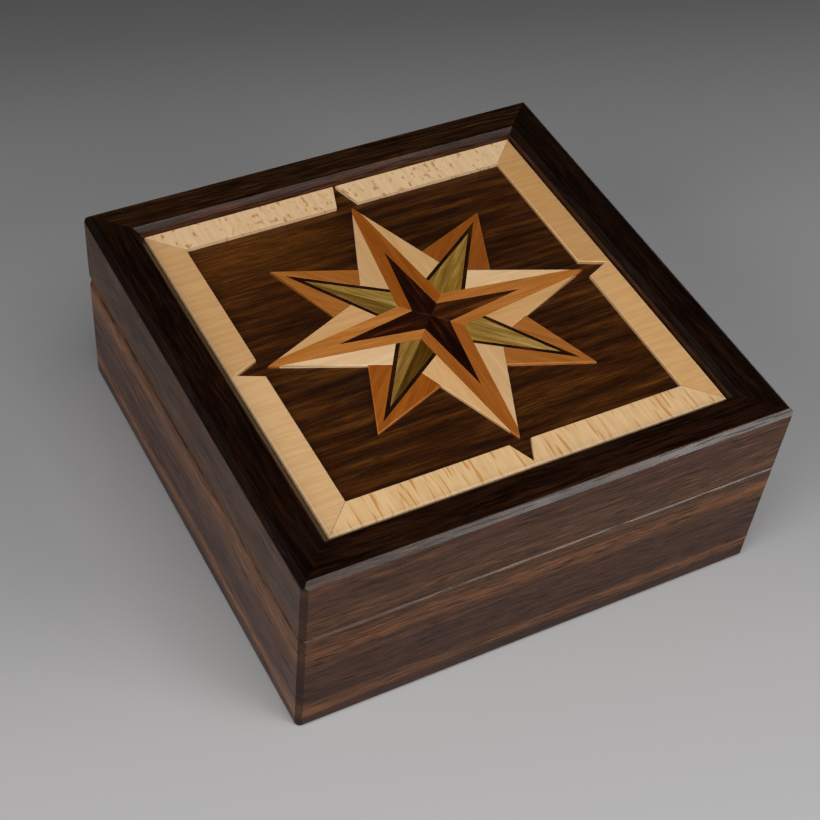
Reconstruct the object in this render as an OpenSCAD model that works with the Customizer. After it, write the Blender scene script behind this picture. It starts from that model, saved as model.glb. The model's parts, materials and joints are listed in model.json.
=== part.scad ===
// Square walnut keepsake box with a hinged lid.
// The lid carries a raised maple border and an eight-point compass star.
// Origin: middle of the underside. +X is right, +Y is the hinged back, +Z is up.

/* [Box] */
// Width and depth of the box, over the walls
box_w = 152.4; // [120:0.1:200]
// Height of the base, up to the line where the lid meets it
base_h = 40.7; // [30:0.1:60]
// Height of the lid, above that line
lid_h = 23.6; // [20:0.1:40]
// Thickness of the walls and of the lid's frame rails
wall_t = 13; // [12:0.1:16]
// Gap between the lid and the base when the lid is closed
lid_gap = 0.3; // [0.2:0.05:0.5]

/* [Eased edges] */
// Chamfer round the top of the lid
top_chamfer = 1.8; // [0.5:0.1:2.5]
// Chamfer on the four upright corners
corner_chamfer = 1.6; // [0.5:0.1:2.5]
// Chamfer on the rails' inner edge, above the sunk field
inner_chamfer = 1.6; // [0.5:0.1:2]
// Easing along the line where the lid meets the base
parting_ease = 0.6; // [0.2:0.1:1]
// Width of the base's easing at the back of the two side walls, where it is widest
back_ease = 2.4; // [1:0.1:2.6]
// Easing round the bottom
bottom_ease = 1; // [0.2:0.1:2]

/* [Panels] */
// Depth of the walnut field below the lid's rails
field_depth = 3.7; // [3:0.1:5]
// Thickness of the walnut field
field_t = 6.4; // [5:0.1:8]
// Thickness of the bottom panel
bottom_t = 5; // [4:0.1:8]
// Height of the bottom panel above the table
bottom_lift = 4; // [3:0.1:6]
// How far each panel reaches into its groove
tongue = 4.5; // [3:0.1:6]
// Thickness of the felt lining
lining_t = 1.2; // [0.8:0.1:3]

/* [Maple border] */
// Width of a border strip
strip_w = 9.4; // [6:0.1:12]
// Gap between the rails and the border
strip_gap = 0.9; // [0.3:0.1:2]
// Depth of the border's top below the rails
strip_depth = 2.6; // [2:0.1:3]
// Half width of a notch at the border's inner edge
notch_w = 3.4; // [2:0.1:5]
// Length of the front, left and right notches
notch_l = 7.7; // [5:0.1:8.5]

/* [Star] */
// How far the star sits to the right of the middle
star_shift = 0.8; // [0:0.1:1]
// Depth of the star's top below the rails
star_depth = 2.8; // [2.2:0.1:3.2]
// How deep the star and the border are let into the field
inlay_sunk = 1.5; // [0.5:0.1:2.5]
// Length of a main point, from the middle
main_r = 51.6; // [40:0.1:51.8]
// Half width of a main point for each mm of its length
main_slope = 0.41; // [0.36:0.01:0.45]
// Length of a diagonal point
diag_r = 49.5; // [45:0.1:51]
// Half width of a diagonal point for each mm of its length
diag_slope = 0.45; // [0.4:0.01:0.5]
// Length of the dark line's own point
string_r = 44.8; // [42:0.1:46]
// Half width of that point for each mm of its length
string_slope = 0.2; // [0.16:0.01:0.24]
// Width of the dark line
string_w = 1.2; // [0.8:0.1:1.6]
// Where the orange band's outer edges would meet, past the tip
band_r = 57.2; // [54:0.1:60]
// Half width of the orange band for each mm of its length
band_slope = 0.143; // [0.12:0.001:0.16]
// Length of the dark centre star's points
dark_r = 29.8; // [24:0.1:34]
// Half width of those points for each mm of their length
dark_slope = 0.157; // [0.12:0.001:0.18]

/* [Hinges] */
// Distance of each hinge from the middle
hinge_x = 38; // [25:1:45]
// Length of a hinge
hinge_l = 25; // [20:1:30]
// How far the hinge pin sits in from the back
pin_inset = 2.2; // [2:0.1:3]
// Radius of the hinge pin
pin_r = 0.8; // [0.6:0.05:1]
// Radius of the knuckles
knuckle_r = 1.5; // [1.4:0.05:1.8]
// Thickness of a leaf
leaf_t = 0.9; // [0.8:0.05:1]
// How far a leaf reaches in from the pin
leaf_reach = 9.5; // [8:0.1:10]
// Slope of the lid's back chamfer, in degrees above level
lid_bevel = 50; // [45:1:52]
// Slope of the base's back chamfer, in degrees below level
base_bevel = 45; // [42:1:46]
// Length of a hinge screw
screw_l = 7; // [5:0.5:8]

/* [Hidden] */
$fn = 48;
WALLS = ["front", "right", "back", "left"];
WINDS = ["nne", "ene", "ese", "sse", "ssw", "wsw", "wnw", "nnw"];
POINTS = ["north", "east", "south", "west"];
DIAGONALS = ["ne", "se", "sw", "nw"];

eps = 0.05;              // running room between pieces that are set into each other
over = 1;                // how far a cutter runs past what it cuts
half_w = box_w / 2;
room = half_w - wall_t;  // half width of the space between the walls
top_z = base_h + lid_h;
field_z = top_z - field_depth;
inlay_z = field_z - inlay_sunk;
panel_half = room + tongue;
groove_half = panel_half + 0.3;
strip_out = room - strip_gap;
strip_in = strip_out - strip_w;
back_notch_w = 3.6;      // the back notch runs right through, so it is wider
back_slit = 0.45;        // half width of that notch at the border's outer edge
ease_in = 0.4;           // easing on the walls' inner edges

pin_y = half_w - pin_inset;
half_gap = lid_gap / 2;
knuckle_n = 5;
knuckle_l = hinge_l / knuckle_n;
knuckle_gap = 0.1;       // end play between two knuckles
barrel_room = knuckle_r + 0.4;
screw_head_r = 2;
screw_r = 1;
screw_spread = 16;       // distance between the two screws of a leaf
screw_y = pin_y - 0.6 * leaf_reach;
slot_w = 0.5;
slot_d = 0.4;

walnut = "#4a2c1a";
pale_maple = "#d9b88a";
cherry = "#a65a1e";
dark_wood = "#1c0c08";
green_light = "#a08a45";
green_dark = "#5a4516";
felt = "#3c2a22";
brass = "#b58a3c";

// ---- plan outlines ----

// One wall seen from above: mitred ends, and half of each corner chamfer.
// It is drawn along the front, reaching in as far as depth.
module wall_plan(depth) {
    a = half_w;
    k = corner_chamfer;
    polygon([
        [-a + k, -a], [a - k, -a], [a - k / 2, -a + k / 2], [a - depth, -a + depth],
        [-a + depth, -a + depth], [-a + k / 2, -a + k / 2]
    ]);
}

// A wall made by running a cross-section along X, then mitring it.
// The section's points are [y, z], with the outer face at y = -half_w.
module wall(index, section) {
    rotate([0, 0, 90 * index])
        intersection() {
            rotate([90, 0, 90])
                linear_extrude(height = 2 * half_w, center = true)
                    polygon(section);
            linear_extrude(height = top_z + over)
                wall_plan(wall_t);
        }
}

function base_section() = [
    [-half_w + bottom_ease, 0],
    [-room - ease_in, 0],
    [-room, ease_in],
    [-room, bottom_lift - eps],
    [-groove_half, bottom_lift - eps],
    [-groove_half, bottom_lift + bottom_t + eps],
    [-room, bottom_lift + bottom_t + eps],
    [-room, base_h - half_gap - ease_in],
    [-room - ease_in, base_h - half_gap],
    [-half_w + parting_ease, base_h - half_gap],
    [-half_w, base_h - half_gap - parting_ease],
    [-half_w, bottom_ease]
];

function lid_section() = [
    [-half_w + parting_ease, base_h + half_gap],
    [-room - ease_in, base_h + half_gap],
    [-room, base_h + half_gap + ease_in],
    [-room, field_z - field_t - eps],
    [-groove_half, field_z - field_t - eps],
    [-groove_half, field_z + eps],
    [-room, field_z + eps],
    [-room, top_z - inner_chamfer],
    [-room - inner_chamfer, top_z],
    [-half_w + top_chamfer, top_z],
    [-half_w, top_z - top_chamfer],
    [-half_w, base_h + half_gap + parting_ease]
];

// ---- back edge and hinge seats ----

// The wedge cut away above the hinge line on the lid (side = 1), or below it on the base (side = -1).
// Its sloping face stands half_gap off the pin's centre.
module back_bevel(side, slope) {
    reach = pin_inset + over;
    near = -half_gap * tan(slope / 2);
    translate([0, pin_y, base_h])
        rotate([90, 0, 90])
            linear_extrude(height = 2 * box_w, center = true)
                polygon([
                    [near, 0],
                    [near, side * half_gap],
                    [reach, side * (half_gap + (reach - near) * tan(slope))],
                    [reach, 0]
                ]);
}

// The easing along the top of the base's side walls widens from the front to the back.
// The cutter's lower face is the sloping plane that leaves it, on the right (side = 1) or the left.
module side_taper(side) {
    tilt = atan((back_ease - parting_ease) / box_w / sqrt(2));
    mirror([side > 0 ? 0 : 1, 0, 0])
        translate([half_w - parting_ease, -half_w, base_h - half_gap])
            rotate([0, 45, 0])
                rotate([-tilt, 0, 0])
                    translate([-box_w, -box_w, 0])
                        cube([2 * box_w, 3 * box_w, box_w]);
}

module at_hinges() {
    for (s = [-1, 1])
        translate([s * hinge_x, pin_y, base_h])
            children();
}

// Where the screws of one leaf stand, from the hinge's middle on the pin's axis
module at_screws() {
    for (s = [-1, 1])
        translate([s * screw_spread / 2, screw_y - pin_y, 0])
            children();
}

// The room that a hinge needs in the wood on one side of the line (side = 1 for the lid)
module hinge_seat(side) {
    at_hinges() {
        rotate([0, 90, 0])
            cylinder(h = hinge_l + 4 * eps, r = barrel_room, center = true);
        seat_t = leaf_t + eps;
        mirror([0, 0, side > 0 ? 0 : 1]) {
            translate([-hinge_l / 2 - eps, -leaf_reach - eps, half_gap - over])
                cube([hinge_l + 2 * eps, leaf_reach + eps, seat_t + over]);
            at_screws()
                cylinder(h = half_gap + leaf_t + screw_l + eps, r = screw_r + eps);
        }
    }
}

// ---- walls ----

module base_wall(index) {
    color(walnut)
        difference() {
            wall(index, base_section());
            back_bevel(-1, base_bevel);
            if (index > 0)
                for (side = [-1, 1])
                    side_taper(side);
            if (index == 2)
                hinge_seat(-1);
        }
}

module lid_wall(index) {
    color(walnut)
        difference() {
            wall(index, lid_section());
            back_bevel(1, lid_bevel);
            if (index == 2)
                hinge_seat(1);
        }
}

module base_bottom() {
    color(walnut)
        translate([-panel_half, -panel_half, bottom_lift])
            cube([2 * panel_half, 2 * panel_half, bottom_t]);
}

module base_lining() {
    half = room - 0.3;
    round_r = 1.5;
    color(felt)
        translate([0, 0, bottom_lift + bottom_t])
            linear_extrude(height = lining_t)
                difference() {
                    square(2 * half, center = true);
                    for (a = [0:90:270])
                        rotate(a)
                            translate([half - round_r, half - round_r])
                                difference() {
                                    square(round_r + over);
                                    circle(r = round_r);
                                }
                }
}

// ---- border ----

// Half of one side's border, from the mitre to the notch, drawn for the north side's east half
module strip_plan(inner_notch, outer_notch, notch_depth) {
    polygon([
        [strip_in, strip_in],
        [strip_out, strip_out],
        [outer_notch, strip_out],
        [outer_notch, strip_in + notch_depth],
        [inner_notch, strip_in]
    ]);
}

// Eight places round the middle: even ones are drawn as they are, odd ones are mirrored
module octant(index) {
    rotate([0, 0, -45 * (index % 2 == 0 ? index : index + 1)])
        mirror([index % 2 == 0 ? 0 : 1, 0, 0])
            children();
}

module border_outline(index) {
    at_back = index == 0 || index == 7;
    octant(index)
        if (at_back)
            strip_plan(back_notch_w, back_slit, strip_w - eps);
        else
            strip_plan(notch_w, 0, notch_l);
}

module border_strip(index) {
    color(pale_maple)
        translate([0, 0, inlay_z])
            linear_extrude(height = top_z - strip_depth - inlay_z)
                border_outline(index);
}

// ---- star ----

// Where a straight edge from a point's tip at radius r, narrowing by slope, meets the 45 degree line
function valley(r, slope) = r * slope / (1 + slope) * [1, 1];
function foot(r, slope) = [0, sqrt(2) * r * slope / (1 + slope)];
function on_diagonal(r) = r / sqrt(2) * [1, 1];
function turned(p, q) = p[0] * q[1] - p[1] * q[0];
// Where the line through a and b crosses the line through c and d
function crossing(a, b, c, d) = a + (b - a) * turned(c - a, d - c) / turned(b - a, d - c);

green_r = string_r - string_w / sin(atan(string_slope));
main_tip = [0, main_r];
main_valley = valley(main_r, main_slope);
band_tip = [0, band_r];
band_valley = valley(band_r, band_slope);
dark_tip = [0, dark_r];
dark_valley = valley(dark_r, dark_slope);
diag_tip = on_diagonal(diag_r);
string_tip = on_diagonal(string_r);
green_tip = on_diagonal(green_r);
diag_foot = foot(diag_r, diag_slope);
string_foot = foot(string_r, string_slope);
green_foot = foot(green_r, string_slope);
outer_corner = crossing(main_tip, main_valley, diag_tip, diag_foot);
line_on_main = crossing(main_tip, main_valley, string_tip, string_foot);
line_on_band = crossing(band_tip, band_valley, string_tip, string_foot);
green_on_band = crossing(band_tip, band_valley, green_tip, green_foot);
maple_tip = crossing(main_tip, main_valley, band_tip, band_valley);

maple_outline = [maple_tip, line_on_main, line_on_band];
band_outline = [main_tip, maple_tip, band_valley, dark_valley, dark_tip];
centre_outline = [[0, 0], dark_tip, dark_valley];
flank_outline = [diag_tip, outer_corner, line_on_main, string_tip];
line_outline = [string_tip, line_on_band, green_on_band, green_tip];
green_outline = [green_tip, green_on_band, band_valley];
star_outline = [[0, 0], main_tip, outer_corner, diag_tip];

// The same piece of the star in each of the given places
module star_piece(outline, places) {
    for (i = places)
        translate([star_shift, 0, inlay_z])
            octant(i)
                linear_extrude(height = top_z - star_depth - inlay_z)
                    polygon(outline);
}

// The green pieces of the western points are split into a light half and a dark half
function is_shaded(i) = i == 4 || i == 6;
// The two places on either side of a main point, and of a diagonal point
function beside_point(i) = [2 * i, (2 * i + 7) % 8];
function beside_diagonal(i) = [2 * i, 2 * i + 1];

module lid_field() {
    color(walnut)
        difference() {
            translate([-panel_half, -panel_half, field_z - field_t])
                cube([2 * panel_half, 2 * panel_half, field_t]);
            translate([0, 0, inlay_z])
                linear_extrude(height = inlay_sunk + over)
                    for (i = [0:7])
                        border_outline(i);
            translate([star_shift, 0, inlay_z])
                linear_extrude(height = inlay_sunk + over)
                    for (i = [0:7])
                        octant(i)
                            polygon(star_outline);
        }
}

// ---- hinges, drawn about the pin's axis ----

// The knuckles with an even number are the base leaf's, the odd ones are the lid leaf's
module knuckle(i) {
    translate([(i + 0.5) * knuckle_l - hinge_l / 2, 0, 0])
        children();
}

module leaf(first, side) {
    own = [for (i = [first:2:knuckle_n - 1]) i];
    finger = knuckle_l - knuckle_gap;
    difference() {
        union() {
            mirror([0, 0, side > 0 ? 0 : 1]) {
                translate([-hinge_l / 2, -leaf_reach, half_gap])
                    cube([hinge_l, leaf_reach - barrel_room, leaf_t]);
                for (i = own)
                    knuckle(i)
                        translate([-finger / 2, -barrel_room - eps, half_gap])
                            cube([finger, barrel_room + eps, leaf_t]);
            }
            for (i = own)
                knuckle(i)
                    rotate([0, 90, 0])
                        cylinder(h = finger, r = knuckle_r, center = true);
        }
        rotate([0, 90, 0])
            cylinder(h = hinge_l + over, r = pin_r + eps, center = true);
        mirror([0, 0, side > 0 ? 0 : 1])
            at_screws()
                translate([0, 0, half_gap])
                    cylinder(h = leaf_t, r1 = screw_head_r + eps, r2 = screw_r + eps);
    }
}

module hinge_base_leaf(side) {
    color(brass)
        translate([side * hinge_x, pin_y, base_h])
            leaf(0, -1);
}

module hinge_lid_leaf(side) {
    color(brass)
        translate([side * hinge_x, pin_y, base_h])
            leaf(1, 1);
}

module hinge_pins() {
    color(brass)
        at_hinges()
            rotate([0, 90, 0])
                cylinder(h = hinge_l, r = pin_r, center = true);
}

module screw() {
    point_l = 2;
    difference() {
        union() {
            cylinder(h = leaf_t, r1 = screw_head_r, r2 = screw_r);
            translate([0, 0, leaf_t])
                cylinder(h = screw_l - point_l, r = screw_r);
            translate([0, 0, leaf_t + screw_l - point_l])
                cylinder(h = point_l, r1 = screw_r, r2 = 0.3);
        }
        translate([-screw_head_r - over, -slot_w / 2, -over])
            cube([2 * (screw_head_r + over), slot_w, slot_d + over]);
    }
}

module hinge_screws(side) {
    color(brass)
        at_hinges()
            mirror([0, 0, side > 0 ? 0 : 1])
                at_screws()
                    translate([0, 0, half_gap])
                        screw();
}

// ---- the pieces ----

for (i = [0:3]) {
    base_wall(i);
    lid_wall(i);
    color(cherry) star_piece(band_outline, beside_point(i));
    color(dark_wood) star_piece(centre_outline, beside_point(i));
    color(cherry) star_piece(flank_outline, beside_diagonal(i));
    color(dark_wood) star_piece(line_outline, beside_diagonal(i));
}
for (i = [0:7]) {
    border_strip(i);
    color(pale_maple) star_piece(maple_outline, [i]);
    color(is_shaded(i) ? green_dark : green_light) star_piece(green_outline, [i]);
}
base_bottom();
base_lining();
lid_field();
hinge_base_leaf(-1);  // hinge_base_leaf_left
hinge_base_leaf(1);  // hinge_base_leaf_right
hinge_lid_leaf(-1);  // hinge_lid_leaf_left
hinge_lid_leaf(1);  // hinge_lid_leaf_right
hinge_pins();
hinge_screws(-1);  // base_hinge_screws
hinge_screws(1);  // lid_hinge_screws
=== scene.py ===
import json
from math import atan2, cos, degrees, pi, radians, sin

import bmesh
import bpy
from mathutils import Matrix, Vector

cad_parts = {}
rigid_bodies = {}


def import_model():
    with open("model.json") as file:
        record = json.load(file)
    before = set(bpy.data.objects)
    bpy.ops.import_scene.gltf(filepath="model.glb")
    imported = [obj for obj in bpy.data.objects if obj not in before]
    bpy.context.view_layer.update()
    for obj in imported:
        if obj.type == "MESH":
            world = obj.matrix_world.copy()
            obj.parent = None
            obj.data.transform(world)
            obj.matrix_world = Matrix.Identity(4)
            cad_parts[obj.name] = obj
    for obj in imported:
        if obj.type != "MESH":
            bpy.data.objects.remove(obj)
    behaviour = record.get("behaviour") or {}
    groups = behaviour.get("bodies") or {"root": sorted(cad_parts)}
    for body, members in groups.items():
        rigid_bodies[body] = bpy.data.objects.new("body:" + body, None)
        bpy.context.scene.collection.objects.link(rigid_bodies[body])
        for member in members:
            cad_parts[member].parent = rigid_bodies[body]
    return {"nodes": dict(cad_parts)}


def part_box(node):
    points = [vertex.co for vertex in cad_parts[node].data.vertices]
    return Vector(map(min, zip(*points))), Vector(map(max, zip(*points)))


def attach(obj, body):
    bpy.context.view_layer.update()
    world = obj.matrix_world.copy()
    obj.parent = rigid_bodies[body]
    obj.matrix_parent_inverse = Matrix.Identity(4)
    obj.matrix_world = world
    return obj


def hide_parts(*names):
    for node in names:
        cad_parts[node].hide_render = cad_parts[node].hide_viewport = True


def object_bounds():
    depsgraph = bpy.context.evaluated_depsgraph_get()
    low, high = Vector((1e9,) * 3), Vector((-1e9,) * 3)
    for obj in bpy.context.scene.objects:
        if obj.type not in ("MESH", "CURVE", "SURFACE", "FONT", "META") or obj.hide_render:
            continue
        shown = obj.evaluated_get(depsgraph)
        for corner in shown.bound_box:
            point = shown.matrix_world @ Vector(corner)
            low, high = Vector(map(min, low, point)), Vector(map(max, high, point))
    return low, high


# An inlaid walnut keepsake box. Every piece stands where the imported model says, in metres.
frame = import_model()
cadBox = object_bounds()
mm = 0.001
sameHeight = 0.01 * mm  # heights this close are the same
boxHalf = cadBox[1].x
boxTop = cadBox[1].z
tableZ = cadBox[0].z
partingZ = (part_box("lid_front")[0].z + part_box("base_front")[1].z) / 2
winds = ["nne", "ene", "ese", "sse", "ssw", "wsw", "wnw", "nnw"]  # clockwise, 45 degrees each
squareCorners = ((-1, -1), (1, -1), (1, 1), (-1, 1))
scene = bpy.context.scene
print("frame loaded:", len(frame["nodes"]), "nodes")


view = {
    "place": (-0.18934, -0.29351, 0.38755),
    "turn": -33.227,   # about the upright
    "tilt": 38.422,    # up from straight down
    "roll": 7.164,
    "lens": 71.95,
    "shift": (0.0045, 0.1854),
}


def makeCamera():
    camera = bpy.data.objects.new("camera", bpy.data.cameras.new("camera"))
    camera.data.lens = view["lens"]
    camera.data.shift_x, camera.data.shift_y = view["shift"]
    camera.data.clip_start = 0.01
    turned = (
        Matrix.Rotation(radians(view["turn"]), 4, "Z")
        @ Matrix.Rotation(radians(view["tilt"]), 4, "X")
        @ Matrix.Rotation(radians(view["roll"]), 4, "Z")
    )
    camera.matrix_world = Matrix.Translation(view["place"]) @ turned
    scene.collection.objects.link(camera)
    scene.camera = camera


def shade(hexColour):
    parts = [int(hexColour[i:i + 2], 16) / 255 for i in (1, 3, 5)]
    return tuple(p / 12.92 if p <= 0.04045 else ((p + 0.055) / 1.055) ** 2.4 for p in parts) + (1.0,)


def plug(tree, socket, value):
    if isinstance(value, bpy.types.NodeSocket):
        tree.links.new(value, socket)
    elif value is not None:
        socket.default_value = value


def put(tree, kind, inputs=None, **settings):
    made = tree.nodes.new(kind)
    for key, value in settings.items():
        setattr(made, key, value)
    for key, value in (inputs or {}).items():
        plug(tree, made.inputs[key], value)
    return made


def calc(tree, operation, a, b=None, clamp=False):
    made = put(tree, "ShaderNodeMath", {0: a}, operation=operation, use_clamp=clamp)
    plug(tree, made.inputs[1], b)
    return made.outputs[0]


def vecCalc(tree, operation, a, b):
    return put(tree, "ShaderNodeVectorMath", {0: a, 1: b}, operation=operation).outputs[0]


def vec(tree, x, y, z):
    return put(tree, "ShaderNodeCombineXYZ", {0: x, 1: y, 2: z}).outputs[0]


def noise(tree, vector, detail=2.0, roughness=0.5, scale=1.0):
    return put(tree, "ShaderNodeTexNoise", {
        "Vector": vector, "Scale": scale, "Detail": detail, "Roughness": roughness,
    })


def spread(tree, value, fromLow, fromHigh, toLow=0.0, toHigh=1.0):
    return put(tree, "ShaderNodeMapRange", {
        0: value, 1: fromLow, 2: fromHigh, 3: toLow, 4: toHigh,
    }).outputs[0]


def mixed(tree, factor, a, b, how="MIX"):
    made = put(tree, "ShaderNodeMix", {0: factor, 6: a, 7: b}, data_type="RGBA", blend_type=how)
    return made.outputs[2]


def ramp(tree, factor, stops, smooth=True):
    made = put(tree, "ShaderNodeValToRGB", {0: factor})
    elements = made.color_ramp.elements
    made.color_ramp.interpolation = "EASE" if smooth else "LINEAR"
    while len(elements) < len(stops):
        elements.new(0.5)
    for element, (place, colour) in zip(elements, stops):
        element.position = place
        element.color = shade(colour)
    return made.outputs[0]


def attribute(tree, name):
    return put(tree, "ShaderNodeAttribute", attribute_name=name, attribute_type="GEOMETRY")


def newGroup(name, inputs, outputs):
    tree = bpy.data.node_groups.new(name, "ShaderNodeTree")
    for key, kind in inputs.items():
        tree.interface.new_socket(key, in_out="INPUT", socket_type="NodeSocket" + kind)
    for key, kind in outputs.items():
        tree.interface.new_socket(key, in_out="OUTPUT", socket_type="NodeSocket" + kind)
    return tree, tree.nodes.new("NodeGroupInput").outputs, tree.nodes.new("NodeGroupOutput").inputs


def placed(tree, group, inputs):
    made = tree.nodes.new("ShaderNodeGroup")
    made.node_tree = group
    for key, value in inputs.items():
        plug(tree, made.inputs[key], value)
    return made.outputs


# Patterns are drawn in board space: millimetres along the grain, across it, and into the board.

def makeFigureGroup():
    tree, given, out = newGroup(
        "woodFigure",
        {"Board": "Vector", "Band Width": "Float", "Band Length": "Float", "Wander": "Float",
         "Pore Width": "Float", "Pore Length": "Float", "Pore Amount": "Float"},
        {"Board": "Vector", "Bands": "Float", "Streaks": "Float", "Fibres": "Float",
         "Pores": "Float", "Height": "Float"},
    )
    slow = noise(tree, vecCalc(tree, "MULTIPLY", given["Board"], (0.016, 0.06, 0.06)), 3.0)
    offset = vecCalc(tree, "SUBTRACT", slow.outputs["Color"], (0.5, 0.5, 0.5))
    offset = vecCalc(tree, "MULTIPLY", offset, vec(tree, 0.0, given["Wander"], given["Wander"]))
    board = vecCalc(tree, "ADD", given["Board"], offset)
    bandSize = vec(tree, given["Band Length"], given["Band Width"], given["Band Width"])
    bands = noise(tree, vecCalc(tree, "DIVIDE", board, bandSize), 3.0, 0.55)
    streakSize = vecCalc(tree, "MULTIPLY", bandSize, (0.3, 0.3, 0.3))
    streaks = noise(tree, vecCalc(tree, "DIVIDE", board, streakSize), 3.0, 0.6)
    fibres = noise(tree, vecCalc(tree, "MULTIPLY", board, (0.12, 2.4, 2.4)), 3.0, 0.65)
    poreSize = vec(tree, given["Pore Length"], given["Pore Width"], given["Pore Width"])
    dots = noise(tree, vecCalc(tree, "DIVIDE", board, poreSize), 1.0, 0.4)
    edge = spread(tree, given["Pore Amount"], 0.0, 1.0, 0.78, 0.5)
    pores = spread(tree, dots.outputs[0], edge, calc(tree, "ADD", edge, 0.09))
    height = calc(tree, "SUBTRACT", calc(tree, "MULTIPLY", fibres.outputs[0], 0.5), pores)
    plug(tree, out["Board"], board)
    plug(tree, out["Bands"], spread(tree, bands.outputs[0], 0.35, 0.65))
    plug(tree, out["Streaks"], spread(tree, streaks.outputs[0], 0.35, 0.65))
    plug(tree, out["Fibres"], spread(tree, fibres.outputs[0], 0.35, 0.65))
    plug(tree, out["Pores"], pores)
    plug(tree, out["Height"], height)
    return tree


def makeArrisGroup():
    # the eased arrises of a piece, painted paler: partly wear, partly a painted highlight where the
    # edges catch the light, broken up where the sanding stopped short
    tree, given, out = newGroup(
        "arrisWearAndHighlight", {"Board": "Vector", "Strength": "Float"}, {"Mask": "Float", "Joint": "Float"})
    broken = noise(tree, given["Board"], 2.0, 0.6, 0.9)
    edge = attribute(tree, "arris").outputs["Fac"]
    plug(tree, out["Joint"], calc(tree, "MULTIPLY", edge, -0.7, True))
    mask = calc(tree, "MULTIPLY", calc(tree, "MAXIMUM", edge, 0.0), given["Strength"])
    patchy = spread(tree, broken.outputs[0], 0.3, 0.6, 0.5, 1.0)
    plug(tree, out["Mask"], calc(tree, "MULTIPLY", mask, patchy))
    return tree


def makeHandlingGroup():
    # faint smudges in a satin finish, from wiping and handling
    tree, given, out = newGroup(
        "satinWear", {"Place": "Vector", "Amount": "Float"}, {"Roughness": "Float"})
    smudge = noise(tree, given["Place"], 3.0, 0.55, 45.0)
    eitherWay = spread(tree, smudge.outputs[0], 0.35, 0.65, -1.0, 1.0)
    plug(tree, out["Roughness"], calc(tree, "MULTIPLY", eitherWay, given["Amount"]))
    return tree


woodFigure = makeFigureGroup()
arrisWearAndHighlight = makeArrisGroup()
satinWear = makeHandlingGroup()


def newMaterial(name):
    material = bpy.data.materials.new(name)
    material.use_nodes = True
    tree = material.node_tree
    tree.nodes.clear()
    surface = put(tree, "ShaderNodeBsdfPrincipled")
    put(tree, "ShaderNodeOutputMaterial", {"Surface": surface.outputs[0]})
    return material, tree, surface


def makeWood(name, look):
    material, tree, surface = newMaterial(name)
    board = attribute(tree, "board").outputs["Vector"]
    figure = placed(tree, woodFigure, {
        "Board": board, "Band Width": look["band"][0], "Band Length": look["band"][1],
        "Wander": look["wander"], "Pore Width": look["pore"][0], "Pore Length": look["pore"][1],
        "Pore Amount": look["pore"][2],
    })
    if "plank" in look:  # broad zones up the plank, as (height in mm, tone)
        span = look["plank"][-1][0]
        up = put(tree, "ShaderNodeSeparateXYZ", {0: figure["Board"]}).outputs["Y"]
        colour = ramp(tree, calc(tree, "DIVIDE", up, span), [(h / span, c) for h, c in look["plank"]])
    else:
        colour = ramp(tree, figure["Bands"], look["tones"])
    if "rail" in look:  # darker stock above this height
        raised = put(tree, "ShaderNodeSeparateXYZ", {0: board}).outputs["Y"]
        above = spread(tree, raised, look["rail"][0] - 0.1, look["rail"][0])
        dark = mixed(tree, figure["Streaks"], shade(look["rail"][1]), shade(look["rail"][2]))
        colour = mixed(tree, above, colour, dark)
    if "glow" in look:  # a paler patch in the panel: centre, size, tone
        colour = addGlow(tree, colour, board, figure["Bands"], look["glow"])
    for scale, share in look["contrast"].items():
        grain = spread(tree, figure[scale], 0.0, 1.0, 1 - share, 1 + share)
        colour = mixed(tree, 1.0, colour, grain, "MULTIPLY")
    pores = calc(tree, "MULTIPLY", figure["Pores"], look["poreShade"])
    colour = mixed(tree, pores, colour, shade(look["poreTone"]))
    # each face's tint, which paints light and shade on the walls, border and star
    colour = mixed(tree, 1.0, colour, attribute(tree, "tintAndPaintedLight").outputs["Color"], "MULTIPLY")
    strength = look["arris"][0]
    if "rail" in look:  # the dark rails take little of the pale arris wear and painted highlight
        strength = spread(tree, above, 0.0, 1.0, strength, strength * 0.15)
    arris = placed(tree, arrisWearAndHighlight, {"Board": board, "Strength": strength})
    # the eased edges painted paler: partly wear, partly a painted highlight
    colour = mixed(tree, arris["Mask"], colour, shade(look["arris"][1]))
    colour = mixed(tree, arris["Joint"], colour, shade(look["glue"]))
    place = put(tree, "ShaderNodeTexCoord").outputs["Object"]
    wear = placed(tree, satinWear, {"Place": place, "Amount": look["satin"][1]})["Roughness"]
    rough = calc(tree, "ADD", wear, look["satin"][0])
    rough = calc(tree, "ADD", rough, calc(tree, "MULTIPLY", figure["Pores"], 0.12))
    bump = put(tree, "ShaderNodeBump", {
        "Height": figure["Height"], "Distance": look["relief"] * mm, "Strength": 1.0})
    plug(tree, surface.inputs["Base Color"], colour)
    plug(tree, surface.inputs["Roughness"], rough)
    plug(tree, surface.inputs["Normal"], bump.outputs[0])
    surface.inputs["IOR"].default_value = 1.5
    surface.inputs["Specular IOR Level"].default_value = look["specular"]
    if "polished" in look:  # chamfers take a higher polish than the flats
        shine = calc(tree, "MULTIPLY", attribute(tree, "chamfer").outputs["Fac"], look["polished"])
        plug(tree, surface.inputs["Specular IOR Level"], calc(tree, "ADD", shine, look["specular"]))
    return material


def addGlow(tree, colour, board, bands, glow):
    away = vecCalc(tree, "DIVIDE", vecCalc(tree, "SUBTRACT", board, glow["centre"]), glow["size"])
    length = put(tree, "ShaderNodeVectorMath", {0: away}, operation="LENGTH").outputs["Value"]
    faded = spread(tree, length, 0.3, 1.3, 1.0, 0.0)
    near = calc(tree, "SUBTRACT", faded, calc(tree, "MULTIPLY", bands, glow["broken"]), True)
    return mixed(tree, calc(tree, "MULTIPLY", near, glow["share"]), colour, shade(glow["tone"]))


# arris in each look is the strength and tone of the paler eased edges: partly wear, partly a painted
# highlight
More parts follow.
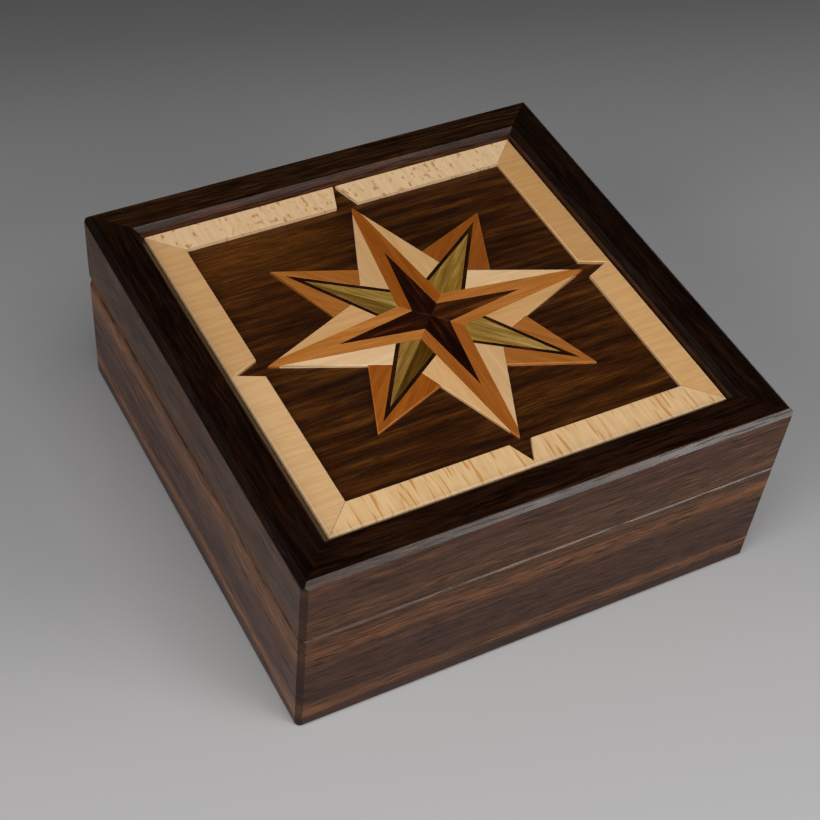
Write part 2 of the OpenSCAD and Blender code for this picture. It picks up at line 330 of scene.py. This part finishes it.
wallLook = {
    "band": (3.0, 90.0), "wander": 6.0,
    "contrast": {"Bands": 0.26, "Streaks": 0.28, "Fibres": 0.55},
    "plank": [
        (0, "#382015"), (4, "#3c2318"), (7, "#664128"), (9, "#684228"), (12, "#44281b"), (17, "#43271c"),
        (24, "#472b1d"), (28, "#4d2f1f"), (31, "#593822"), (33.5, "#6f4529"), (36, "#684127"),
        (38.5, "#523420"), (45, "#573924"), (52, "#4e3221"), (60, "#563624"), (64, "#543423"),
    ],
    "rail": (62.5, "#0b0300", "#1b0c04"),
    "pore": (0.5, 13.0, 0.66), "poreShade": 0.8, "poreTone": "#150a05",
    "arris": (0.22, "#7a5238"), "specular": 0.15, "polished": 0.34,
    "satin": (0.32, 0.04), "relief": 0.03, "glue": "#120804",
}
fieldLook = {
    "band": (3.0, 45.0), "wander": 5.0,
    "tones": [(0.0, "#291204"), (0.35, "#341905"), (0.65, "#402007"), (1.0, "#4e2b0a")],
    "glow": {"centre": (-42.0, 45.0, 62.0), "size": (40.0, 15.0, 2.0), "tone": "#764311",
             "share": 0.75, "broken": 0.2},
    "contrast": {"Bands": 0.1, "Streaks": 0.26, "Fibres": 0.36},
    "pore": (0.42, 6.0, 0.62), "poreShade": 0.65, "poreTone": "#100502",
    "arris": (0.2, "#5a3418"), "specular": 0.2,
    "satin": (0.34, 0.04), "relief": 0.035, "glue": "#120804",
}
mapleLook = {
    "band": (1.8, 26.0), "wander": 2.0,
    "tones": [(0.0, "#e2b781"), (0.5, "#e6bd88"), (1.0, "#eac491")],
    "contrast": {"Streaks": 0.03, "Fibres": 0.035},
    "pore": (0.25, 2.4, 0.1), "poreShade": 0.4, "poreTone": "#c08a4a",
    "arris": (0.35, "#f6dcb4"), "specular": 0.3,
    "satin": (0.36, 0.04), "relief": 0.012, "glue": "#5a3618",
}
cherryLook = {
    "band": (1.8, 30.0), "wander": 2.5,
    "tones": [(0.0, "#975218"), (0.5, "#9e581c"), (1.0, "#a66024")],
    "contrast": {"Streaks": 0.06, "Fibres": 0.12},
    "pore": (0.25, 2.6, 0.3), "poreShade": 0.45, "poreTone": "#6e340c",
    "arris": (0.3, "#cf8a4c"), "specular": 0.3,
    "satin": (0.36, 0.04), "relief": 0.014, "glue": "#6b4420",
}
darkLook = {
    "band": (2.2, 24.0), "wander": 3.0,
    "tones": [(0.0, "#180601"), (0.5, "#210a02"), (0.8, "#2c1003"), (1.0, "#401c07")],
    "contrast": {"Streaks": 0.2, "Fibres": 0.25},
    "pore": (0.25, 2.6, 0.4), "poreShade": 0.7, "poreTone": "#0c0301",
    "arris": (0.1, "#5a2c14"), "specular": 0.2,
    "satin": (0.36, 0.04), "relief": 0.02, "glue": "#6b4420",
}
greenLook = {
    "band": (1.4, 20.0), "wander": 2.0,
    "tones": [(0.0, "#7a5c1e"), (0.45, "#8c6e2c"), (0.75, "#997b38"), (1.0, "#a98c4a")],
    "contrast": {"Streaks": 0.12, "Fibres": 0.18},
    "pore": (0.25, 2.6, 0.35), "poreShade": 0.45, "poreTone": "#57400f",
    "arris": (0.25, "#bba66a"), "specular": 0.3,
    "satin": (0.36, 0.04), "relief": 0.016, "glue": "#6b4420",
}
# the border's figure runs across each strip: flecked behind, barred in front, plain at the sides
borderLook = dict(
    mapleLook, band=(1.5, 16.0), wander=1.0, tones=[(0.0, "#e5bd88"), (1.0, "#eac592")],
    contrast={"Bands": 0.02, "Streaks": 0.015, "Fibres": 0.025},
    pore=(0.5, 9.0, 0.4), poreShade=0.22, poreTone="#b98a52",
)
barredLook = dict(
    borderLook, wander=2.6, contrast={"Bands": 0.03, "Streaks": 0.01, "Fibres": 0.015},
    pore=(0.95, 11.0, 0.62), poreShade=0.75, poreTone="#c98532",
)
fleckedLook = dict(
    borderLook, contrast={"Bands": 0.02, "Streaks": 0.01, "Fibres": 0.015},
    pore=(1.15, 2.6, 0.6), poreShade=0.85, poreTone="#be8746",
)


brassLook = {"tone": "#c49a48", "dull": "#8a6a30", "worn": "#e2c078", "rough": 0.3, "stained": 0.46}


def makeBrass():
    material, tree, surface = newMaterial("brass")
    place = put(tree, "ShaderNodeTexCoord").outputs["Object"]
    brushed = noise(tree, vecCalc(tree, "MULTIPLY", place, (300.0, 9000.0, 9000.0)), 2.0)
    stain = noise(tree, place, 4.0, 0.6, 260.0).outputs[0]
    placeInMm = vecCalc(tree, "MULTIPLY", place, (1000.0,) * 3)
    arris = placed(tree, arrisWearAndHighlight, {"Board": placeInMm, "Strength": 0.5})["Mask"]
    dulled = spread(tree, stain, 0.35, 0.7)
    tone = mixed(tree, dulled, shade(brassLook["tone"]), shade(brassLook["dull"]))
    rough = spread(tree, stain, 0.3, 0.7, brassLook["rough"], brassLook["stained"])
    bump = put(tree, "ShaderNodeBump", {"Height": brushed.outputs[0], "Distance": 0.004 * mm})
    # the brass's eased edges painted paler: partly worn brass, partly a painted glint
    plug(tree, surface.inputs["Base Color"], mixed(tree, arris, tone, shade(brassLook["worn"])))
    plug(tree, surface.inputs["Roughness"], rough)
    plug(tree, surface.inputs["Normal"], bump.outputs[0])
    surface.inputs["Metallic"].default_value = 1.0
    return material


feltLook = {"tone": "#3a241b", "worn": "#5d4134", "relief": 0.25}


def makeFelt():
    material, tree, surface = newMaterial("felt")
    place = put(tree, "ShaderNodeTexCoord").outputs["Object"]
    lint = noise(tree, place, 5.0, 0.75, 1400.0).outputs[0]
    patch = noise(tree, place, 3.0, 0.5, 35.0).outputs[0]
    both = calc(tree, "ADD", calc(tree, "MULTIPLY", lint, 0.7), calc(tree, "MULTIPLY", patch, 0.3))
    tone = mixed(tree, spread(tree, both, 0.35, 0.65), shade(feltLook["tone"]), shade(feltLook["worn"]))
    bump = put(tree, "ShaderNodeBump", {"Height": lint, "Distance": feltLook["relief"] * mm})
    plug(tree, surface.inputs["Base Color"], tone)
    plug(tree, surface.inputs["Normal"], bump.outputs[0])
    surface.inputs["Roughness"].default_value = 0.95
    surface.inputs["Sheen Weight"].default_value = 0.5
    surface.inputs["Sheen Roughness"].default_value = 0.5
    return material


looks = {
    "walnutWall": wallLook, "walnutField": fieldLook, "maplePlain": borderLook,
    "mapleBarred": barredLook, "mapleFlecked": fleckedLook,
    "maple": mapleLook, "cherry": cherryLook, "darkWood": darkLook, "greenWood": greenLook,
}
materials = {name: makeWood(name, look) for name, look in looks.items()}
materials["brass"] = makeBrass()
materials["felt"] = makeFelt()
print("materials made:", ", ".join(materials))


def solidCopy(node):
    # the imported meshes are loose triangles, so a copy is merged and its flat faces joined up
    work = bmesh.new()
    work.from_mesh(frame["nodes"][node].data)
    bmesh.ops.remove_doubles(work, verts=work.verts, dist=0.002 * mm)
    bmesh.ops.dissolve_limit(work, angle_limit=radians(0.4), verts=work.verts, edges=work.edges)
    return work


def sharpEdges(work, least=24.0):
    return [e for e in work.edges if len(e.link_faces) == 2 and e.calc_face_angle(0) > radians(least)]


def topEdges(work, node):
    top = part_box(node)[1].z
    return [e for e in sharpEdges(work) if all(abs(v.co.z - top) < sameHeight for v in e.verts)]


def easeEdges(work, edges, width, steps=2, mark=1.0):
    arris = work.loops.layers.float.get("arris") or work.loops.layers.float.new("arris")
    made = bmesh.ops.bevel(
        work, geom=edges, offset=width * mm, segments=steps, profile=0.5,
        affect="EDGES", clamp_overlap=True)
    for face in made["faces"]:
        face.smooth = True
        for loop in face.loops:
            loop[arris] = mark


def finishPiece(
        name, work, material, node, body, along=(1, 0, 0), up=(0, 1, 0), start=(0, 0, 0),
        tintAndPaintedLight=None, polish=None):
    mesh = bpy.data.meshes.new(name)
    if not work.loops.layers.float.get("arris"):
        work.loops.layers.float.new("arris")
    work.to_mesh(mesh)
    work.free()
    axes = [Vector(along).normalized(), Vector(up).normalized()]
    axes.append(axes[0].cross(axes[1]))
    board = mesh.attributes.new("board", "FLOAT_VECTOR", "POINT")
    for vertex, value in zip(mesh.vertices, board.data):
        value.vector = [vertex.co.dot(axis) / mm + shift for axis, shift in zip(axes, start)]
    # the tint attribute carries colour tints together with painted light and shade
    mesh.attributes.new("tintAndPaintedLight", "FLOAT_COLOR", "CORNER")
    mesh.attributes.new("chamfer", "FLOAT", "CORNER")
    tintsAndPaintedLight, chamfer = mesh.attributes["tintAndPaintedLight"], mesh.attributes["chamfer"]
    for polygon in mesh.polygons:
        colour = tintAndPaintedLight(polygon) if tintAndPaintedLight else (1, 1, 1)
        for index, corner in zip(polygon.loop_indices, polygon.vertices):
            tintsAndPaintedLight.data[index].color = (*colour, 1)
            if polish and 0.2 < abs(polygon.normal.z) < 0.97:
                chamfer.data[index].value = polish(mesh.vertices[corner].co)
    mesh.materials.append(material)
    piece = bpy.data.objects.new(name, mesh)
    scene.collection.objects.link(piece)
    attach(piece, body)
    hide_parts(node)


# one plank runs round the box, and the lid is sawn from the same walls
wall = {
    "arris": 0.22, "panelArris": 0.15,
    "headDepth": 0.6,              # how far down a chamfer's head reaches
    "grooveReach": 0.8,            # either side of the parting line
    # painted shade in the parting groove of the left and right walls
    "groove": (0.4, 0.3, 0.26),
    "corner": (0.5, 0.48, 0.46),   # the faces at the corners are given a darker tone
}
# turn is about the upright and order is round the plank; polish is that of the chamfers' foot and head;
# rail, lid, base and chamfer are tints that paint light and shade: sheen on the front and back rails, a
# highlight on the chamfers facing the front, and on the left a darker lid and a lighter base
sides = {
    "left": {
        "turn": -90, "order": -1, "rail": (1.1, 1.0, 1.0), "lid": (0.8, 0.78, 0.76),
        "base": (1.3, 1.28, 1.26), "polish": (0.8, 1.0),
    },
    "front": {
        "turn": 0, "order": 0, "rail": (1.75, 1.6, 1.5), "lid": (1, 1, 1),
        "base": (1.05, 1.05, 1.05), "polish": (1.0, 1.0), "chamfer": (5.5, 6.0, 7.5),
    },
    "right": {
        "turn": 90, "order": 1, "rail": (1.0, 1.0, 1.0), "lid": (1, 1, 1),
        "base": (1, 1, 1), "polish": (0.8, 1.0),
    },
    "back": {
        "turn": 180, "order": 2, "rail": (2.6, 2.8, 2.4), "lid": (1, 1, 1),
        "base": (1, 1, 1), "polish": (0.0, 0.6), "chamfer": (4.6, 4.2, 3.4),
    },
}


def isMitre(edge):
    # a mitre's faces stand at 45 degrees to the box
    for face in edge.link_faces:
        n = face.normal
        if abs(abs(n.x) - abs(n.y)) < 0.02 and abs(n.z) < 0.1 and face.calc_area() > 20 * mm * mm:
            return True
    return False


def wallToneAndPaintedLight(side):
    look = sides[side]

    def tone(polygon):
        n, z = polygon.normal, polygon.center.z
        # the rails' tints per side are painted sheen, and chamfers facing the front get a painted
        # highlight
        if z > wallLook["rail"][0] * mm:
            facesFront = n.y < -0.4 and n.z > 0.2
            return look["chamfer"] if facesFront and "chamfer" in look else look["rail"]
        # painted shade in the parting groove of the left and right walls
        inGrooveShade = abs(z - partingZ) < wall["grooveReach"] * mm and abs(n.z) > 0.3
        if side in ("left", "right") and inGrooveShade:
            return wall["groove"]
        if abs(abs(n.x) - abs(n.y)) < 0.3 and abs(n.z) < 0.3:
            return wall["corner"]
        # painted light and shade: on the left the lid is darker and the base lighter
        return look["base"] if z < partingZ else look["lid"]
    return tone


def makeWall(part, side):
    look = sides[side]
    node = part + "_" + side
    work = solidCopy(node)
    easeEdges(work, [e for e in sharpEdges(work) if not isMitre(e)], wall["arris"])
    along = Matrix.Rotation(radians(look["turn"]), 3, "Z") @ Vector((1, 0, 0))
    start = (look["order"] * 2 * boxHalf / mm, 0, boxHalf / mm)
    headZ = boxTop - wall["headDepth"] * mm
    finishPiece(
        part + side.capitalize() + "Wall", work, materials["walnutWall"], node, part,
        along, (0, 0, 1), start, wallToneAndPaintedLight(side), lambda point: look["polish"][point.z > headZ])


for part in ("base", "lid"):
    for side in sides:
        makeWall(part, side)


def makePanel(name, node, body, start):
    work = solidCopy(node)
    easeEdges(work, sharpEdges(work), wall["panelArris"])
    finishPiece(name, work, materials["walnutField"], node, body, start=start)


makePanel("lidField", "lid_field", "lid", (0, 0, 0))
makePanel("baseBottom", "base_bottom", "base", (400, 90, 30))
print("walls, rails and panels made")


border = {
    "outerArris": 0.75, "innerArris": 0.25, "joint": 0.13,
    "woods": {"n": "mapleFlecked", "s": "mapleBarred", "e": "maplePlain", "w": "maplePlain"},
    "tones": [  # in the order of winds; painted shade: the left and right strips are painted darker, most at their back ends and on the right
        (1.0, 1.03, 1.14), (0.74, 0.6, 0.44), (0.86, 0.74, 0.6), (0.98, 0.95, 0.95),
        (1.0, 0.97, 0.94), (0.92, 0.84, 0.78), (0.8, 0.68, 0.56), (1.0, 1.0, 1.1),
    ],
}


def onMitre(edge):
    # true where two strips meet at a corner of the border
    middle = (edge.verts[0].co + edge.verts[1].co) / 2
    return abs(abs(middle.x) - abs(middle.y)) < 0.1 * mm


def outFrom(vertex):
    return max(abs(vertex.co.x), abs(vertex.co.y))


def makeStrip(wind):
    node = "border_" + wind
    work = solidCopy(node)
    upper = [e for e in topEdges(work, node) if not onMitre(e)]
    outer = max(outFrom(v) for v in work.verts) - 0.05 * mm
    outerEdges = [e for e in upper if all(outFrom(v) > outer for v in e.verts)]
    innerEdges = [e for e in upper if e not in outerEdges]
    easeEdges(work, outerEdges, border["outerArris"], 3)
    easeEdges(work, [e for e in innerEdges if e.is_valid], border["innerArris"], 2)
    easeEdges(work, [e for e in topEdges(work, node) if onMitre(e)], border["joint"], 1, -1.0)
    across, lengthwise = ((0, 1, 0), (1, 0, 0)) if wind[0] in "ns" else ((1, 0, 0), (0, 1, 0))
    order = winds.index(wind)
    finishPiece(
        "border" + wind.upper(), work, materials[border["woods"][wind[0]]], node, "lid",
        across, lengthwise, (order * 37.0, order * 61.0, 0), lambda polygon: border["tones"][order])


for wind in winds:
    makeStrip(wind)

star = {
    "arris": 0.22, "seam": 0.06,
    "tones": {  # each facet's own tone together with painted light and shade for how its grain catches the light, by where it lies round the star, in the order of winds
        "maple": [
            (0.83, 0.74, 0.64), (1.0, 1.0, 1.08), (0.85, 0.72, 0.58), (0.89, 0.83, 0.8),
            (0.94, 0.83, 0.72), (1.06, 1.08, 1.2), (0.86, 0.74, 0.62), (0.82, 0.73, 0.66),
        ],
        "cherry": [
            (0.85, 0.75, 0.4), (1.35, 1.6, 2.2), (1.0, 0.95, 0.9), (0.9, 0.8, 0.5),
            (1.05, 1.05, 1.1), (1.05, 1.08, 1.2), (1.45, 1.8, 2.6), (0.88, 0.8, 0.5),
        ],
        "flank": [
            (0.8, 0.74, 0.6), (0.78, 0.68, 0.35), (1.1, 1.25, 1.7), (1.3, 1.5, 2.1),
            (0.95, 0.92, 0.9), (0.95, 0.85, 0.5), (0.95, 0.95, 0.95), (1.1, 1.25, 1.6),
        ],
        "centre": [
            (1.9, 1.8, 1.2), (3.0, 3.8, 2.6), (2.8, 3.5, 2.4), (0.7, 0.6, 0.6),
            (0.75, 0.65, 0.6), (1.1, 1.0, 0.9), (1.4, 1.4, 1.1), (1.0, 0.9, 0.6),
        ],
        "line": [(1.2, 1.3, 1.2)] * 8,
        "green": [
            (0.95, 0.85, 0.8), (0.98, 0.85, 0.7), (1.15, 1.1, 1.3), (1.25, 1.18, 1.3),
            (0.33, 0.24, 0.06), (1.0, 0.88, 0.95), (0.6, 0.5, 0.35), (1.35, 1.35, 1.75),
        ],
    },
}
starLow = [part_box("star_band_" + p)[0] for p in ("west", "south")]
starHigh = [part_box("star_band_" + p)[1] for p in ("east", "north")]
starMiddle = Vector(((starLow[0].x + starHigh[0].x) / 2, (starLow[1].y + starHigh[1].y) / 2, 0))


def windOrder(point):
    bearing = degrees(atan2(point.x - starMiddle.x, point.y - starMiddle.y)) % 360
    return int(bearing // 45)


def toneAndLightOf(kind):
    return lambda polygon: star["tones"][kind][windOrder(polygon.center)]


def makeStarPiece(kind, node, material, bearing):
    work = solidCopy(node)
    upper = topEdges(work, node)
    rim = [e for e in upper if e.calc_length() > 0.5 * mm and isRim(e)]
    easeEdges(work, rim, star["arris"])
    easeEdges(work, [e for e in upper if e.is_valid and e not in rim], star["seam"], 1)
    along = (sin(radians(bearing)), cos(radians(bearing)), 0)
    across = (cos(radians(bearing)), -sin(radians(bearing)), 0)
    order = len(bpy.data.objects)  # so that no two facets show the same stretch of board
    start = (order * 23.0 % 400, order * 17.0 % 300, 0)
    name = node.replace("_", " ").title().replace(" ", "").replace("Star", "star", 1)
    finishPiece(name, work, materials[material], node, "lid", along, across, start, toneAndLightOf(kind))


starTriangles = []
for name, cadNode in frame["nodes"].items():
    if name.startswith("star_"):
        for polygon in cadNode.data.polygons:
            if polygon.normal.z > 0.9:
                starTriangles.append([cadNode.data.vertices[i].co.to_2d() for i in polygon.vertices])


def isBetween(value, *ends):
    return min(ends) <= value <= max(ends)


def underStar(point):
    for a, b, c in starTriangles:
        turns = [(q - p).cross(point - p) for p, q in ((a, b), (b, c), (c, a))]
        inside = min(turns) >= 0 or max(turns) <= 0
        if inside and isBetween(point.x, a.x, b.x, c.x) and isBetween(point.y, a.y, b.y, c.y):
            return True
    return False


def isRim(edge):
    # an edge on the star's outline has bare field on one side
    a, b = (v.co.to_2d() for v in edge.verts)
    middle = (a + b) / 2
    aside = Vector((a.y - b.y, b.x - a.x)).normalized() * 0.1 * mm
    return not (underStar(middle + aside) and underStar(middle - aside))


pointBearing = {"north": 0, "east": 90, "south": 180, "west": 270}
diagonalBearing = {"ne": 45, "se": 135, "sw": 225, "nw": 315}
for order, wind in enumerate(winds):
    makeStarPiece("maple", "star_maple_" + wind, "maple", 90 * ((order + 1) // 2))
    makeStarPiece("green", "star_green_" + wind, "greenWood", 45 + 90 * (order // 2))
for point, bearing in pointBearing.items():
    makeStarPiece("cherry", "star_band_" + point, "cherry", bearing)
    makeStarPiece("centre", "star_centre_" + point, "darkWood", bearing)
for diagonal, bearing in diagonalBearing.items():
    makeStarPiece("flank", "star_flank_" + diagonal, "cherry", bearing)
    makeStarPiece("line", "star_line_" + diagonal, "darkWood", bearing)
print("border and star made")


hinge = {"edge": 0.1, "sharp": 40, "creased": 35}


def makeMetal(name, node, body):
    work = solidCopy(node)
    for face in work.faces:
        face.smooth = True
    easeEdges(work, sharpEdges(work, hinge["sharp"]), hinge["edge"])
    for edge in work.edges:
        if edge.calc_face_angle(0) > radians(hinge["creased"]):
            edge.smooth = False
    finishPiece(name, work, materials["brass"], node, body)


for side in ("left", "right"):
    makeMetal("hingeBaseLeaf" + side.capitalize(), "hinge_base_leaf_" + side, "base")
    makeMetal("hingeLidLeaf" + side.capitalize(), "hinge_lid_leaf_" + side, "lid")
makeMetal("hingePins", "hinge_pins", "base")


# one screw is set out by nodes, with each slot turned its own way
screws = {"edge": 0.08, "sharp": 40, "turn": 3.1, "seed": 4}


def looseParts(work):
    # taken in the mesh's own order, so the screws come out the same each run
    seen = set()
    for first in work.verts:
        if first in seen:
            continue
        seen.add(first)
        part, reach = [], [first]
        while reach:
            vertex = reach.pop()
            part.append(vertex)
            for edge in vertex.link_edges:
                other = edge.other_vert(vertex)
                if other not in seen:
                    seen.add(other)
                    reach.append(other)
        yield part


def middleOf(verts):
    lows = Vector([min(v.co[i] for v in verts) for i in range(3)])
    highs = Vector([max(v.co[i] for v in verts) for i in range(3)])
    return (lows + highs) / 2


def newGeometryGroup(name, inputs):
    tree = bpy.data.node_groups.new(name, "GeometryNodeTree")
    keys = {}
    for key, kind in dict(Geometry="Geometry", **inputs, Material="Material").items():
        socket = tree.interface.new_socket(key, in_out="INPUT", socket_type="NodeSocket" + kind)
        keys[key] = socket.identifier
    tree.interface.new_socket("Geometry", in_out="OUTPUT", socket_type="NodeSocketGeometry")
    given = tree.nodes.new("NodeGroupInput").outputs
    return tree, keys, given, tree.nodes.new("NodeGroupOutput").inputs


def realized(tree, instances, material):
    real = put(tree, "GeometryNodeRealizeInstances", {0: instances}).outputs[0]
    return put(tree, "GeometryNodeSetMaterial", {"Geometry": real, "Material": material}).outputs[0]


def makeScrewNodes():
    tree, keys, given, out = newGeometryGroup(
        "setScrews", {"Screw": "Object", "Turn": "Float", "Seed": "Int"})
    screw = put(tree, "GeometryNodeObjectInfo", {"Object": given["Screw"]})
    turn = put(tree, "FunctionNodeRandomValue", {
        3: given["Turn"], "Seed": given["Seed"]}, data_type="FLOAT")
    driven = put(tree, "GeometryNodeInstanceOnPoints", {
        "Points": given["Geometry"], "Instance": screw.outputs["Geometry"],
        "Rotation": vec(tree, 0.0, 0.0, turn.outputs[1])})
    plug(tree, out["Geometry"], realized(tree, driven.outputs[0], given["Material"]))
    return tree, keys


def runNodes(name, mesh, tree, values):
    # the modifier's result becomes a plain mesh of its own
    holder = bpy.data.objects.new(name + "Points", mesh)
    scene.collection.objects.link(holder)
    modifier = holder.modifiers.new("nodes", "NODES")
    modifier.node_group = tree
    for key, value in values.items():
        modifier[key] = value
    bpy.context.view_layer.update()
    seen = holder.evaluated_get(bpy.context.evaluated_depsgraph_get())
    result = bpy.data.meshes.new_from_object(seen)
    bpy.data.objects.remove(holder)
    return result


def makeScrews(name, node, body, tree, sockets):
    work = solidCopy(node)
    parts = list(looseParts(work))
    centres = [middleOf(part) for part in parts]
    bmesh.ops.delete(work, geom=[v for part in parts[1:] for v in part], context="VERTS")
    bmesh.ops.translate(work, verts=work.verts, vec=-centres[0])
    for face in work.faces:
        face.smooth = True
    easeEdges(work, sharpEdges(work, screws["sharp"]), screws["edge"])
    mesh = bpy.data.meshes.new(name + "Screw")
    work.to_mesh(mesh)
    work.free()
    screw = bpy.data.objects.new(name + "Screw", mesh)
    scene.collection.objects.link(screw)
    points = bpy.data.meshes.new(name + "Points")
    points.from_pydata(centres, [], [])
    result = runNodes(name, points, tree, {
        sockets["Screw"]: screw, sockets["Turn"]: screws["turn"], sockets["Seed"]: screws["seed"],
        sockets["Material"]: materials["brass"],
    })
    bpy.data.objects.remove(screw)
    piece = bpy.data.objects.new(name, result)
    scene.collection.objects.link(piece)
    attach(piece, body)
    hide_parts(node)


screwNodes, screwSockets = makeScrewNodes()
makeScrews("baseHingeScrews", "base_hinge_screws", "base", screwNodes, screwSockets)
makeScrews("lidHingeScrews", "lid_hinge_screws", "lid", screwNodes, screwSockets)


lining = {"arris": 0.4, "steps": 3}


def makeLining():
    work = solidCopy("base_lining")
    easeEdges(work, sharpEdges(work), lining["arris"], lining["steps"])
    finishPiece("baseLining", work, materials["felt"], "base_lining", "base")


nap = {  # the felt's fibres; sizes in millimetres, lean in radians
    "perSquareMetre": 620000.0, "length": 0.9, "width": 0.06, "taper": 0.6, "height": 0.5, "reach": 0.6,
    "blades": 3, "curl": 0.7, "sunk": 0.02, "margin": 0.8,
    "lean": 1.25, "smallest": 0.5, "largest": 1.2, "seed": 9,
}


def makeFibre():
    # one bent fibre, short blades end to end
    work = bmesh.new()
    rows = []
    for step in range(nap["blades"] + 1):
        t = step / nap["blades"]
        out = t * nap["length"] * nap["reach"] * mm
        rise = nap["height"] * sin(t * pi * nap["curl"]) * nap["length"] * mm
        half = nap["width"] / 2 * (1 - nap["taper"] * t) * mm
        rows.append([work.verts.new((out, side * half, rise)) for side in (-1, 1)])
    for lower, upper in zip(rows, rows[1:]):
        work.faces.new((lower[0], upper[0], upper[1], lower[1]))
    mesh = bpy.data.meshes.new("feltFibre")
    work.to_mesh(mesh)
    work.free()
    fibre = bpy.data.objects.new("feltFibre", mesh)
    scene.collection.objects.link(fibre)
    return fibre


def makeNapNodes():
    tree, keys, given, out = newGeometryGroup(
        "scatterNap", {"Fibre": "Object", "Density": "Float", "Lean": "Float", "Seed": "Int"})
    points = put(tree, "GeometryNodeDistributePointsOnFaces", {
        "Mesh": given["Geometry"], "Density": given["Density"], "Seed": given["Seed"]})
    fibre = put(tree, "GeometryNodeObjectInfo", {"Object": given["Fibre"]})
    lean = calc(tree, "MULTIPLY", given["Lean"], -1.0)
    turn = put(tree, "FunctionNodeRandomValue", {
        0: vec(tree, lean, lean, -pi), 1: vec(tree, given["Lean"], 0.0, pi), "Seed": given["Seed"],
    }, data_type="FLOAT_VECTOR")
    size = put(tree, "FunctionNodeRandomValue", {
        2: nap["smallest"], 3: nap["largest"], "Seed": given["Seed"]}, data_type="FLOAT")
    fibres = put(tree, "GeometryNodeInstanceOnPoints", {
        "Points": points.outputs[0], "Instance": fibre.outputs["Geometry"],
        "Rotation": turn.outputs[0], "Scale": size.outputs[1]})
    plug(tree, out["Geometry"], realized(tree, fibres.outputs[0], given["Material"]))
    return tree, keys


def makeNap():
    low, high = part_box("base_lining")
    work = bmesh.new()
    gap = nap["margin"] * mm
    rootZ = high.z - nap["sunk"] * mm
    edgesX = {-1: low.x + gap, 1: high.x - gap}
    edgesY = {-1: low.y + gap, 1: high.y - gap}
    work.faces.new([work.verts.new((edgesX[x], edgesY[y], rootZ)) for x, y in squareCorners])
    mesh = bpy.data.meshes.new("napField")
    work.to_mesh(mesh)
    work.free()
    fibre = makeFibre()
    tree, keys = makeNapNodes()
    result = runNodes("nap", mesh, tree, {
        keys["Fibre"]: fibre, keys["Density"]: nap["perSquareMetre"], keys["Lean"]: nap["lean"],
        keys["Seed"]: nap["seed"], keys["Material"]: materials["felt"],
    })
    bpy.data.objects.remove(fibre)
    piece = bpy.data.objects.new("liningNap", result)
    scene.collection.objects.link(piece)
    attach(piece, "base")
    print("nap:", len(result.polygons), "faces")


makeLining()
makeNap()
print("hinges and lining made")


# the floor is pale in front and darker behind, along a line turned a little to the right
floorLook = {
    "size": 6.0, "turn": 15.0, "from": -0.15, "to": 0.30, "rough": 0.85,
    "tones": [
        (0.0, "#c3c2c2"), (0.13, "#bcbaba"), (0.27, "#a7a6a6"), (0.4, "#9d9c9c"), (0.55, "#969595"),
        (0.7, "#838282"), (0.85, "#666565"), (1.0, "#4e4d4d"),
    ],
}
worldTone = (0.03, 0.03, 0.032, 1)
softLights = {  # name: place, aim, size, watts
    "overhead": ((-0.1, -0.65, 1.55), (0.0, 0.0, 0.0), (1.5, 1.2), 16.0),
    "frontRight": ((0.86, -1.18, 0.80), (0.0, 0.0, 0.03), (0.8, 0.4), 7.5),
    "leftFill": ((-1.35, -0.45, 0.85), (0.0, 0.0, 0.03), (0.9, 0.8), 11.0),
}


def makeFloor():
    work = bmesh.new()
    half = floorLook["size"] / 2
    work.faces.new([work.verts.new((x * half, y * half, tableZ)) for x, y in squareCorners])
    mesh = bpy.data.meshes.new("floor")
    work.to_mesh(mesh)
    work.free()
    floor = bpy.data.objects.new("floor", mesh)
    scene.collection.objects.link(floor)
    material, tree, surface = newMaterial("floorPaper")
    place = put(tree, "ShaderNodeTexCoord").outputs["Object"]
    turned = put(tree, "ShaderNodeMapping", {
        "Vector": place, "Rotation": (0, 0, radians(floorLook["turn"]))})
    away = put(tree, "ShaderNodeSeparateXYZ", {0: turned.outputs[0]}).outputs["Y"]
    share = spread(tree, away, floorLook["from"], floorLook["to"])
    plug(tree, surface.inputs["Base Color"], ramp(tree, share, floorLook["tones"], False))
    surface.inputs["Roughness"].default_value = floorLook["rough"]
    mesh.materials.append(material)


def makeLights():
    for name, (place, aim, size, watts) in softLights.items():
        data = bpy.data.lights.new(name, "AREA")
        data.shape = "RECTANGLE"
        data.size, data.size_y = size
        data.energy = watts
        light = bpy.data.objects.new(name, data)
        turned = (Vector(aim) - Vector(place)).to_track_quat("-Z", "Y")
        light.matrix_world = Matrix.Translation(place) @ turned.to_matrix().to_4x4()
        scene.collection.objects.link(light)
    world = bpy.data.worlds.new("studio")
    world.use_nodes = True
    world.node_tree.nodes["Background"].inputs[0].default_value = worldTone
    scene.world = world
    scene.view_settings.view_transform = "Standard"


makeCamera()
makeFloor()
makeLights()
print("camera, floor and lights made")
